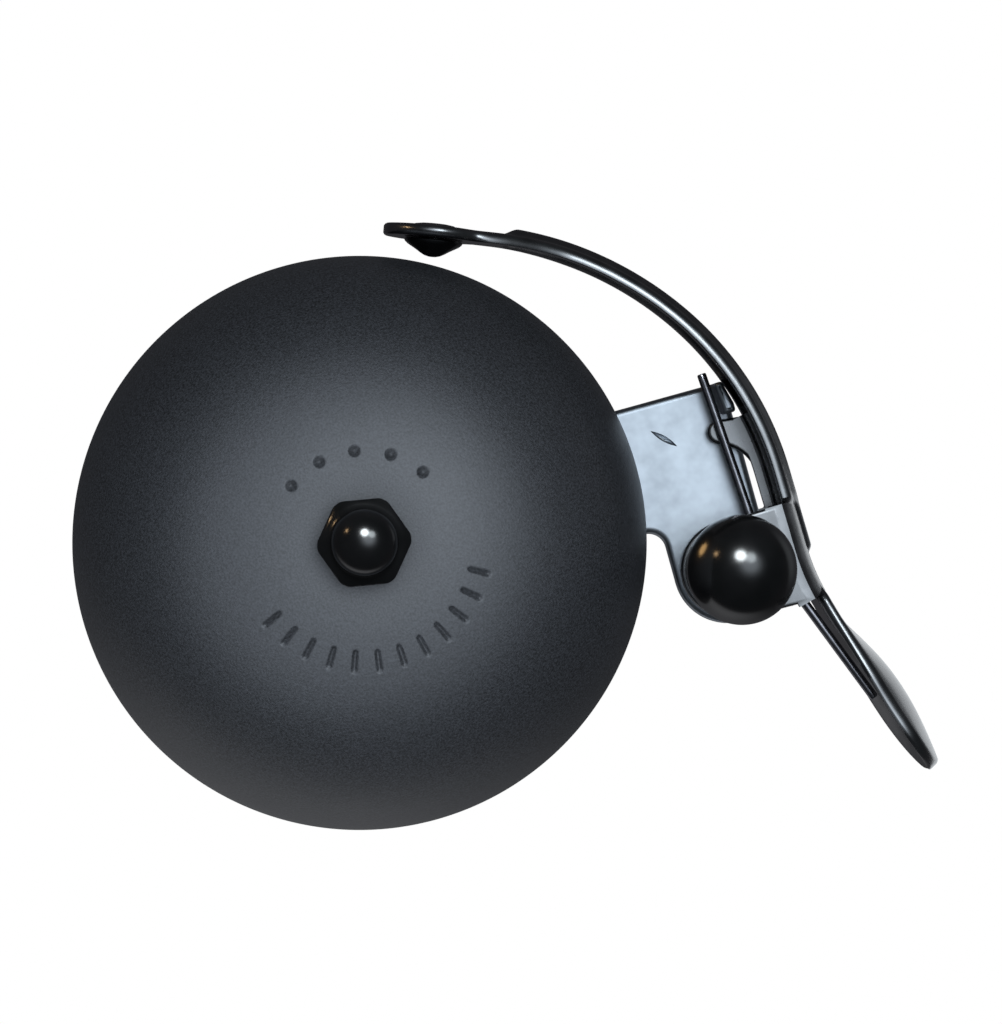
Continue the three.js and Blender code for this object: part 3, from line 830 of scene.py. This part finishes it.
def pivot_stud():
    """A low head under the bracket, a plain shaft, and a thread into the ball."""
    low, high = z_span("pivot_stud")
    thread_low = z_span("ball_knob")[0]
    head, shaft, core = 3.6, 2.0, 1.6
    below = [(0, low), (2.4, low), (3.0, low + 0.1), (3.45, low + 0.45), (head, low + 0.8)]
    below += [(head, PLATE_LOW_Z - 0.08), (head - 0.08, PLATE_LOW_Z), (shaft, PLATE_LOW_Z)]
    below += [(shaft, thread_low - 0.3), (core, thread_low - 0.1)]
    above = [(core - 0.3, high), (0, high)]
    return threaded("pivot_stud", below, above, core, thread_low, high - 0.3, 0.7, 0.25)


def ball_knob():
    """A ball with a small flat under it, where the stud goes in."""
    low, high = z_span("ball_knob")
    centre = high - BALL_RADIUS
    hole, hole_top = 1.85, low + 5.6
    flat = math.acos((centre - low) / BALL_RADIUS)
    flat_edge = BALL_RADIUS * math.sin(flat)
    profile = [(0, hole_top), (hole, hole_top), (hole, low + 0.3), (hole + 0.25, low)]
    profile += [(flat_edge - 0.12, low), (flat_edge - 0.02, low + 0.03)]
    start = flat + 0.03
    for k in range(1, 49):
        angle = start + (math.pi - start) * k / 49
        profile.append((BALL_RADIUS * math.sin(angle), centre - BALL_RADIUS * math.cos(angle)))
    profile.append((0, high))
    return revolve("ball_knob", profile, 128)


piece("stud", moved(pivot_stud(), AT_PIVOT), "pivot_stud", "bell", ZINC)
ball = piece("ball", moved(ball_knob(), AT_PIVOT), "ball_knob", "bell", GLOSS_BLACK)
for node, outer, finish in (("pivot_lower_washer", 4.4, NYLON), ("pivot_upper_washer", 4.0, NYLON),
                            ("pivot_sleeve", 2.75, ZINC)):
    ring(node + "_ring", node, STUD_HOLE, outer, 0.1, finish, AT_PIVOT)

# ------ striker lever

SHEET = 1.1
EAR_THICK = 1.0
EAR_HALF = 4.7
HALF_WIDTH = (LEVER_HIGH_Z - LEVER_LOW_Z) / 2
LEVER_START = (10.13, 28.38)
# The strip's middle line, as runs of (length, heading at its start, heading at its end).
LEVER_RUNS = [(9.87, -20.9, -20.9), (20.4, -20.9, -56.0), (17.4, -56.0, -89.1), (7.8, -89.1, -89.1),
              (5.1, -89.1, -75.1), (10.1, -75.1, -75.1), (9.6, -75.1, -63.5)]
LEVER_LENGTH = sum(run[0] for run in LEVER_RUNS)

# Half widths, depths, and places along the strip.
HEAD_DISC = 4.7
NECK_HALF = 2.7
PAD_HALF = 5.6
NECK_START = 2 * HEAD_DISC
ROUND_START = LEVER_LENGTH - PAD_HALF
HAMMER_ALONG = 4.9
NOSE_START = 41.45
EAR_SPAN = (50.8, 60.2)
RIB_SPAN = (11.2, 56.6)
RIB_HEIGHT = 0.7
DISH_START = 63
DISH_END = LEVER_LENGTH + 1.5
DISH_DEPTH = 2.0

# The lower ear's nose, and the curve that runs from it to the ear.
NOSE = (36.35, 1.05)
NOSE_RADIUS = 1.15
NOSE_BEND = Vector((38.6, -1.0))
NOSE_FOOT = Vector((38.85, -4))


def lever_at(distance):
    """Place on the strip's middle line, and the direction out of its outer face."""
    x, y = LEVER_START
    left = distance
    heading = math.radians(LEVER_RUNS[0][1])
    for length, start, end in LEVER_RUNS:
        used = min(left, length)
        turn = math.radians(end - start) * used / length
        a = math.radians(start)
        if abs(turn) < 1e-9:
            x += used * math.cos(a)
            y += used * math.sin(a)
        else:
            radius = used / turn
            x += radius * (math.sin(a + turn) - math.sin(a))
            y -= radius * (math.cos(a + turn) - math.cos(a))
        heading = a + turn
        left -= used
        if left <= 0:
            break
    return Vector((x, y)), Vector((-math.sin(heading), math.cos(heading)))


def ease(low, high, value):
    share = min(1.0, max(0.0, (value - low) / (high - low)))
    return share * share * (3 - 2 * share)


def half_width_at(distance):
    """Half the strip's width: a disc at the hammer, eased into a neck, the arm, and the pad."""
    disc = math.sqrt(max(0.0, HEAD_DISC ** 2 - (distance - HEAD_DISC) ** 2))
    if distance < HEAD_DISC:
        return disc
    arm = NECK_HALF + (HALF_WIDTH - NECK_HALF) * ease(NECK_START, NECK_START + 9, distance)
    if distance < NECK_START + 3:
        return -soft_min(-disc, -arm, 0.7)
    if distance < EAR_SPAN[1]:
        return arm
    if distance < ROUND_START:
        return HALF_WIDTH + (PAD_HALF - HALF_WIDTH) * ease(EAR_SPAN[1], EAR_SPAN[1] + 10, distance)
    beyond = min(distance - ROUND_START, PAD_HALF)
    return math.sqrt(PAD_HALF ** 2 - beyond ** 2)


def strip_half_width(distance):
    """The half width, drawn in where the channel's bends take over the strip's edges."""
    start, end = EAR_SPAN
    inside = ease(start - 0.4, start + 0.6, distance) * (1 - ease(end - 0.6, end + 0.4, distance))
    return half_width_at(distance) - 1.5 * inside


def press_at(distance, share):
    """How far the strip is pressed outwards: a flat-topped rib, and the dish of the pad."""
    start, end = RIB_SPAN
    along = ease(start, start + 1.6, distance) * (1 - ease(end - 1.3, end, distance))
    rib = RIB_HEIGHT * along * (1 - ease(0.3, 0.62, abs(share)))
    reach = (distance - DISH_START) / (DISH_END - DISH_START)
    dish = DISH_DEPTH * math.sin(math.pi * reach) * (1 - share * share) if reach > 0 else 0
    return rib + dish


def cut_edge_at(distance):
    """How squarely the strip's edge is cut: rounded at both ends, square along the arm."""
    return ease(NECK_START - 1, NECK_START + 1, distance) * (1 - ease(*EAR_SPAN, distance))


def edge_points(side, half_width, half_sheet, outer_round, inner_round):
    """One cut edge of the strip's section, from its outer face round to its inner face."""
    points = []
    for face, radius in ((1, outer_round), (-1, inner_round)):
        for k in range(5)[::face]:
            angle = math.pi / 2 * k / 4
            across = half_width - radius * (1 - math.sin(angle))
            through = half_sheet - radius * (1 - math.cos(angle))
            points.append((side * across, face * through))
    return points


def strip_section(distance):
    """A section across the strip at a distance along it. The sheet thins out at both ends."""
    half_width = strip_half_width(distance)
    eased = min(1.0, min(distance, LEVER_LENGTH - distance) / 0.4)
    half_sheet = SHEET / 2 * (0.3 + 0.7 * math.sqrt(1 - (1 - eased) ** 2))
    square = cut_edge_at(distance)
    outer_round = half_sheet * (0.96 + 0.5 * square)
    inner_round = half_sheet * (0.96 - 0.8 * square)
    sizes = (half_width, half_sheet, outer_round, inner_round)
    steps = [2 * k / 16 - 1 for k in range(1, 16)]
    outer = [(max(half_width - outer_round, 0) * step, half_sheet) for step in steps]
    inner = [(max(half_width - inner_round, 0) * -step, -half_sheet) for step in steps]
    place, out = lever_at(distance)
    points = []
    for across, through in outer + edge_points(1, *sizes) + inner + edge_points(-1, *sizes)[::-1]:
        share = max(-1.0, min(1.0, across / max(half_width, 1e-6)))
        spot = place + out * (press_at(distance, share) + through)
        points.append((spot.x, spot.y, LEVER_MIDDLE_Z + across))
    return points


def strip_stations():
    """Places along the strip, closer at its round ends and at the ends of the rib."""
    stations = [HEAD_DISC * (1 - math.cos(math.pi / 2 * k / 12)) for k in range(1, 12)]
    distance = HEAD_DISC
    while distance < ROUND_START:
        stations.append(distance)
        near_rib = min(abs(distance - RIB_SPAN[0] - 0.8), abs(distance - RIB_SPAN[1] + 0.6))
        distance += 0.2 if near_rib < 1.2 else 0.45
    return stations + [ROUND_START + PAD_HALF * math.sin(math.pi / 2 * k / 14) for k in range(14)]


def lever_strip():
    """The whole strip, from the disc behind the hammer to the tip of the pad."""
    return loft("lever_strip", [strip_section(distance)[::-1] for distance in strip_stations()])


# Sections of the bends that join the ears to the strip, as (out of the strip, up) from its middle
# line. They stop just inside the strip's edges, so that no two faces lie in one plane.
BEND_OUTER = SHEET / 2 + 0.22
BEND_INNER = -SHEET / 2
BEND_HIGH = HALF_WIDTH - 0.02
BEND_LOW = -BEND_HIGH


def bend(side, radius, face, level, most=90):
    """An arc from a face of the strip round to a level, towards +Z or -Z."""
    centre_out = face - radius
    centre_z = level - side * radius * math.sin(math.radians(most))
    angles = [math.radians(most * k / 8) for k in range(9)]
    return [(centre_out + radius * math.cos(a), centre_z + side * radius * math.sin(a)) for a in angles]


def channel_section():
    """A C between both ears. Its wide outer bends end in a crease on the ear."""
    wide, tight, reach, crease = 4.2, 0.9, -2.4, 50
    low, high = BEND_LOW + EAR_THICK, BEND_HIGH - EAR_THICK
    outside = [(reach, BEND_HIGH)] + bend(1, wide, BEND_OUTER, BEND_HIGH, crease)[::-1]
    outside += bend(-1, wide, BEND_OUTER, BEND_LOW, crease) + [(reach, BEND_LOW)]
    inside = [(reach, low)] + bend(-1, tight, BEND_INNER, low)[::-1]
    inside += bend(1, tight, BEND_INNER, high) + [(reach, high)]
    return outside + inside


def nose_section():
    """An L from the strip to the lower ear's nose."""
    wide, tight, reach, top = 1.35, 0.4, -1.6, BEND_LOW + 3
    low = BEND_LOW + EAR_THICK
    outside = [(BEND_OUTER - 0.3, top)] + bend(-1, wide, BEND_OUTER, BEND_LOW) + [(reach, BEND_LOW)]
    inside = [(reach, low)] + bend(-1, tight, BEND_INNER, low)[::-1] + [(BEND_INNER, top)]
    return outside + inside


def channel(name, section, start, end, steps=16):
    """A section swept along the strip."""
    rings = []
    for k in range(steps + 1):
        place, out = lever_at(start + (end - start) * k / steps)
        spots = [(place + out * away, level) for away, level in section]
        rings.append([(spot.x, spot.y, LEVER_MIDDLE_Z + level) for spot, level in spots[::-1]])
    return loft(name, rings)


def along_strip(start, end, steps, offset):
    points = []
    for k in range(steps + 1):
        place, out = lever_at(start + (end - start) * k / steps)
        points.append(tuple(place + out * offset))
    return points


def ear_plate(name, outline, low):
    """An ear with a round end about the pivot, given the rest of its outline."""
    outline = outline + arc(PIVOT_X, PIVOT_Y, EAR_HALF, 90, 270, 36)
    return plate(name, outline, low, low + EAR_THICK, [circle(PIVOT_X, PIVOT_Y, STUD_HOLE)])


def upper_ear():
    return ear_plate("upper_ear", along_strip(*EAR_SPAN, 8, -1.2)[::-1], LEVER_HIGH_Z - EAR_THICK)


def lower_ear():
    """The ear with a nose that meets the bracket's stop tab."""
    points = along_strip(NOSE_START, EAR_SPAN[1], 16, -0.9)[::-1]
    points += arc(*NOSE, NOSE_RADIUS, 90, 243, 14)
    start = Vector(points[-1])
    for k in range(1, 13):
        t = k / 12
        points.append(tuple(start * (1 - t) ** 2 + NOSE_BEND * 2 * t * (1 - t) + NOSE_FOOT * t * t))
    corner = 0.8
    points += arc(NOSE_FOOT.x - corner, PIVOT_Y + EAR_HALF + corner, corner, 0, -90, 5)
    return ear_plate("lower_ear", points, LEVER_LOW_Z)


def striker_lever():
    return [
        lever_strip(),
        channel("pivot_channel", channel_section(), *EAR_SPAN),
        channel("nose_bend", nose_section(), NOSE_START, EAR_SPAN[0] + 0.5),
        upper_ear(),
        lower_ear(),
    ]


def face_frame(distance):
    """A frame on the strip whose Z axis points out of its outer face."""
    place, out = lever_at(distance)
    out_axis, up_axis = Vector((*out, 0)), Vector((0, 0, 1))
    axes = Matrix((up_axis.cross(out_axis), up_axis, out_axis)).transposed()
    return at(*place, LEVER_MIDDLE_Z) @ axes.to_4x4()


def striker_hammer():
    """A blunt cone inside the lever's disc, and the low rivet head outside it."""
    inner, outer = -SHEET / 2 - 0.1, SHEET / 2 + 0.1
    tip, radius, rivet = inner - 1.6, 2.8, 1.2
    profile = [(0, tip), (0.35, tip + 0.02), (0.75, tip + 0.12), (1.15, tip + 0.33), (1.6, tip + 0.62)]
    profile += [(radius - 0.35, inner - 0.5), (radius - 0.08, inner - 0.28), (radius, inner - 0.12)]
    profile += [(radius - 0.06, inner), (rivet, inner), (rivet, outer), (2.1, outer)]
    profile += [(2.12, outer + 0.06), (1.9, outer + 0.18), (1.4, outer + 0.26), (0.7, outer + 0.3)]
    profile += [(0, outer + 0.3)]
    return revolve("striker_hammer", profile, 64)


HAMMER_FRAME = face_frame(HAMMER_ALONG)
lever = piece("lever_pressing", striker_lever(), "striker_lever", "striker", LEVER_PLATING_PAINTED_SHADE)
cut(lever, moved(round_cutter(1.5, -4, 4), HAMMER_FRAME))
piece("hammer", moved(striker_hammer(), HAMMER_FRAME), "striker_hammer", "striker", GLOSS_BLACK)

# ------ torsion spring

WIRE = 0.45
COIL = 3.5
SPRING_LOW_Z = z_span("torsion_spring")[0] + WIRE
SPRING_HIGH_Z = z_span("torsion_spring")[1] - WIRE
SPRING_TURNS = 4
BRACKET_LEG_END = (36.08, 6.9)
LEVER_LEG_END = (43.4, -27.4)


def coil_tangent(far, side):
    """The angle at which a leg to a far point leaves the coil."""
    dx, dy = far[0] - PIVOT_X, far[1] - PIVOT_Y
    return math.atan2(dy, dx) + side * math.acos(COIL / math.hypot(dx, dy))


def spring_line():
    """The wire's middle line: a leg, the coil, and the other leg."""
    start = coil_tangent(BRACKET_LEG_END, -1)
    sweep = -(SPRING_TURNS * TAU + start - coil_tangent(LEVER_LEG_END, 1))
    points = [Vector((*BRACKET_LEG_END, SPRING_LOW_Z))]
    steps = SPRING_TURNS * 40
    for k in range(steps + 1):
        angle = start + sweep * k / steps
        z = SPRING_LOW_Z + (SPRING_HIGH_Z - SPRING_LOW_Z) * k / steps
        points.append(Vector((PIVOT_X + COIL * math.cos(angle), PIVOT_Y + COIL * math.sin(angle), z)))
    points.append(Vector((*LEVER_LEG_END, SPRING_HIGH_Z)))
    return points


def with_legs_divided(points, parts=24):
    """The line with points added along both straight legs."""
    first = [points[0].lerp(points[1], k / parts) for k in range(parts)]
    last = [points[-2].lerp(points[-1], k / parts) for k in range(1, parts + 1)]
    return first + points[1:-1] + last


def torsion_spring():
    """The wire, swept along its line with softened ends."""
    line = with_legs_divided(spring_line())
    ends = [(0.0, 0.75), (0.06, 0.93), (0.16, 1.0)]
    first = (line[1] - line[0]).normalized()
    last = (line[-1] - line[-2]).normalized()
    centres = [(line[0] + first * d, s) for d, s in ends]
    centres += [(point, 1.0) for point in line[1:-1]]
    centres += [(line[-1] - last * d, s) for d, s in ends[::-1]]
    around = [TAU * i / 16 for i in range(16)]
    sections = []
    for k, (centre, size) in enumerate(centres):
        before = centres[max(k - 1, 0)][0]
        after = centres[min(k + 1, len(centres) - 1)][0]
        tangent = (after - before).normalized()
        across = tangent.cross(Vector((0, 0, 1))).normalized()
        upward = across.cross(tangent).normalized()
        spokes = [across * math.cos(a) + upward * math.sin(a) for a in around]
        sections.append([tuple(centre + spoke * WIRE * size) for spoke in spokes])
    return loft("torsion_spring", sections)


spring = piece("spring_coil", torsion_spring(), "torsion_spring", None, SPRING_WIRE)
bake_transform(spring)

# ------ camera, floor and light

# Places below are (right, up, height), along the axes that the camera sees. The view's span is
# what the picture's longer side takes in at the height of the dome's rim.
VIEW_DISTANCE = 450.0
VIEW_SPAN = 98.58477
VIEW_ROLL = math.radians(15.5)
EYE = (-6.8, -0.3, DOME_RIM_Z + VIEW_DISTANCE)
AIM = (13.6, 2.97, DOME_RIM_Z)
SCREEN_RIGHT = Vector((math.cos(VIEW_ROLL), -math.sin(VIEW_ROLL), 0))
SCREEN_UP = Vector((math.sin(VIEW_ROLL), math.cos(VIEW_ROLL), 0))


def on_screen_axes(right, up, z=0):
    return SCREEN_RIGHT * right + SCREEN_UP * up + Vector((0, 0, z))


def add_camera():
    """Looks down on the dome from a little to its left, with the lever's end towards the right."""
    eye = on_screen_axes(*EYE)
    ahead = (on_screen_axes(*AIM) - eye).normalized()
    right = ahead.cross(SCREEN_UP).normalized()
    up = right.cross(ahead)
    data = bpy.data.cameras.new("camera")
    data.sensor_width = 36
    data.lens = data.sensor_width * VIEW_DISTANCE / VIEW_SPAN
    data.clip_start, data.clip_end = 0.01, 20
    camera = bpy.data.objects.new("camera", data)
    turn = Matrix((right, up, -ahead)).transposed().to_4x4()
    camera.matrix_world = Matrix.Translation(eye * MM) @ turn
    bpy.context.scene.collection.objects.link(camera)
    bpy.context.scene.camera = camera


FLOOR_HALF = 3.0
FLOOR_DARK = (0.06, 0.06, 0.066)
FLOOR_PATCHES = [
    {"centre": (-45, -185, 0), "near": 50, "far": 198, "colour": (0.70, 0.71, 0.74)},
    {"centre": (160, 30, 0), "near": 25, "far": 90, "colour": (0.3, 0.32, 0.34)},
]

# The sky's brightness by the angle from its brightest place, both in degrees.
SKY_MIDDLE = (18, 46)
SKY_TINT = (0.90, 1.0, 1.10)
SKY_STOPS = [(0, 3.2), (13, 2.9), (20, 1.3), (28, 0.3), (38, 0.08), (60, 0.06), (95, 0.06), (180, 0.06)]


def white_to_camera(tree, light):
    """Pure white where the camera looks straight at it, and the given light everywhere else."""
    path = new_node(tree, "ShaderNodeLightPath", {})
    return mix_colours(tree, path.outputs["Is Camera Ray"], light, (1, 1, 1))


def glow_patch(tree, place, patch):
    """One inside a round patch of the floor, fading to nothing at its outer edge."""
    centre = [value * MM for value in patch["centre"]]
    away = new_node(tree, "ShaderNodeVectorMath", {0: place, 1: centre}, operation="DISTANCE")
    limits = {"From Min": patch["near"] * MM, "From Max": patch["far"] * MM, "To Min": 1, "To Max": 0}
    limits["Value"] = away.outputs["Value"]
    return new_node(tree, "ShaderNodeMapRange", limits, interpolation_type="SMOOTHSTEP").outputs[0]


def add_floor():
    """A glowing table that the camera sees as pure white. On the bell it is dark, except for two
    bright patches."""
    corners = [(x * FLOOR_HALF, y * FLOOR_HALF, 0) for x, y in ((-1, -1), (1, -1), (1, 1), (-1, 1))]
    mesh = bpy.data.meshes.new("floor")
    mesh.from_pydata(corners, [], [(0, 1, 2, 3)])
    floor = bpy.data.objects.new("floor", mesh)
    floor.location.z = (LUG_LOW_Z - 1) * MM
    floor.rotation_euler.z = -VIEW_ROLL
    bpy.context.scene.collection.objects.link(floor)
    material = bpy.data.materials.new("floor")
    material.use_nodes = True
    tree = material.node_tree
    tree.nodes.clear()
    place = new_node(tree, "ShaderNodeTexCoord", {}).outputs["Object"]
    light = FLOOR_DARK
    for patch in FLOOR_PATCHES:
        light = mix_colours(tree, glow_patch(tree, place, patch), light, patch["colour"])
    glow = new_node(tree, "ShaderNodeEmission", {"Color": white_to_camera(tree, light)})
    new_node(tree, "ShaderNodeOutputMaterial", {"Surface": glow.outputs[0]})
    mesh.materials.append(material)


def direction(tilt, azimuth):
    """A direction tilted from straight up towards an azimuth on the screen, in degrees."""
    t, a = math.radians(tilt), math.radians(azimuth)
    return on_screen_axes(math.sin(t) * math.cos(a), math.sin(t) * math.sin(a), math.cos(t))


def add_world():
    """A soft bluish light overhead that fades towards dark walls, behind a white backdrop."""
    world = bpy.data.worlds.new("studio")
    bpy.context.scene.world = world
    world.use_nodes = True
    tree = world.node_tree
    looking = new_node(tree, "ShaderNodeTexCoord", {}).outputs["Generated"]
    dot = new_node(tree, "ShaderNodeVectorMath", {0: looking, 1: direction(*SKY_MIDDLE)},
                   operation="DOT_PRODUCT").outputs["Value"]
    away = new_node(tree, "ShaderNodeMath", {0: dot}, operation="ARCCOSINE").outputs[0]
    share = new_node(tree, "ShaderNodeMath", {0: away, 1: math.pi}, operation="DIVIDE").outputs[0]
    ramp = new_node(tree, "ShaderNodeValToRGB", {0: share})
    elements = ramp.color_ramp.elements
    while len(elements) < len(SKY_STOPS):
        elements.new(0.5)
    for element, (degrees, strength) in zip(elements, SKY_STOPS):
        element.position = degrees / 180
        element.color = (*(strength * part for part in SKY_TINT), 1)
    give(tree, tree.nodes["Background"].inputs["Color"], white_to_camera(tree, ramp.outputs[0]))


def add_lamp(name, place, size, radiance, colour, aim):
    """A round lamp of a given size and surface brightness."""
    place, aim = on_screen_axes(*place), on_screen_axes(*aim)
    data = bpy.data.lights.new(name, "AREA")
    data.shape = "DISK"
    data.size = size * MM
    data.energy = radiance * math.pi ** 2 * (size * MM / 2) ** 2
    data.color = colour
    lamp = bpy.data.objects.new(name, data)
    lamp.location = place * MM
    lamp.rotation_euler = (aim - place).to_track_quat("-Z", "Y").to_euler()
    lamp.visible_camera = False
    bpy.context.scene.collection.objects.link(lamp)
    return lamp


def flag_group(name, objects, state):
    """A group of objects that a lamp is limited to, or flagged off from."""
    group = bpy.data.collections.new(name)
    for obj in objects:
        group.objects.link(obj)
    for entry in group.collection_objects:
        entry.light_linking.link_state = state
    return group


def aim_only_at(lamp, objects):
    lamp.light_linking.receiver_collection = flag_group(lamp.name + "_only", objects, "INCLUDE")


def keep_off(lamp, objects):
    lamp.light_linking.receiver_collection = flag_group(lamp.name + "_off", objects, "EXCLUDE")


def shine_past(lamp, objects):
    lamp.light_linking.blocker_collection = flag_group(lamp.name + "_past", objects, "EXCLUDE")


# Each lamp's place, size, brightness and colour, and the place that it is aimed at.
BELL_MIDDLE = (0, 0, 30)
LAMPS = {
    "key": ((0, 132, 262), 104, 38, (0.90, 0.97, 1.0), (12, 0, 30)),
    "key_side": ((96, 112, 262), 96, 9, (0.86, 0.96, 1.0), BELL_MIDDLE),
    "warm_lamp": ((-236, 159, 138), 40, 16, (1.0, 0.66, 0.34), BELL_MIDDLE),
    "warm_bounce": ((-53, 45, -4), 30, 7, (1.0, 0.60, 0.24), (36, -3, 34)),
    "dome_light": ((-14, 0, 300), 810, 1.62, (0.86, 0.96, 1.1), BELL_MIDDLE),
    "pad_card": ((86, -14, -20), 62, 1.2, (0.93, 0.97, 1.0), (84, -14, 30)),
}

add_camera()
add_floor()
add_world()
lamps = {name: add_lamp(name, *settings) for name, settings in LAMPS.items()}
keep_off(lamps["key"], [dome, lever, plate_piece])
keep_off(lamps["key_side"], [dome])
keep_off(lamps["warm_lamp"], [dome])
aim_only_at(lamps["warm_bounce"], [ball])
shine_past(lamps["warm_bounce"], [dome])
aim_only_at(lamps["dome_light"], [dome])
aim_only_at(lamps["pad_card"], [lever])
bpy.context.scene.view_settings.view_transform = "Standard"
bpy.context.scene.view_settings.look = "None"
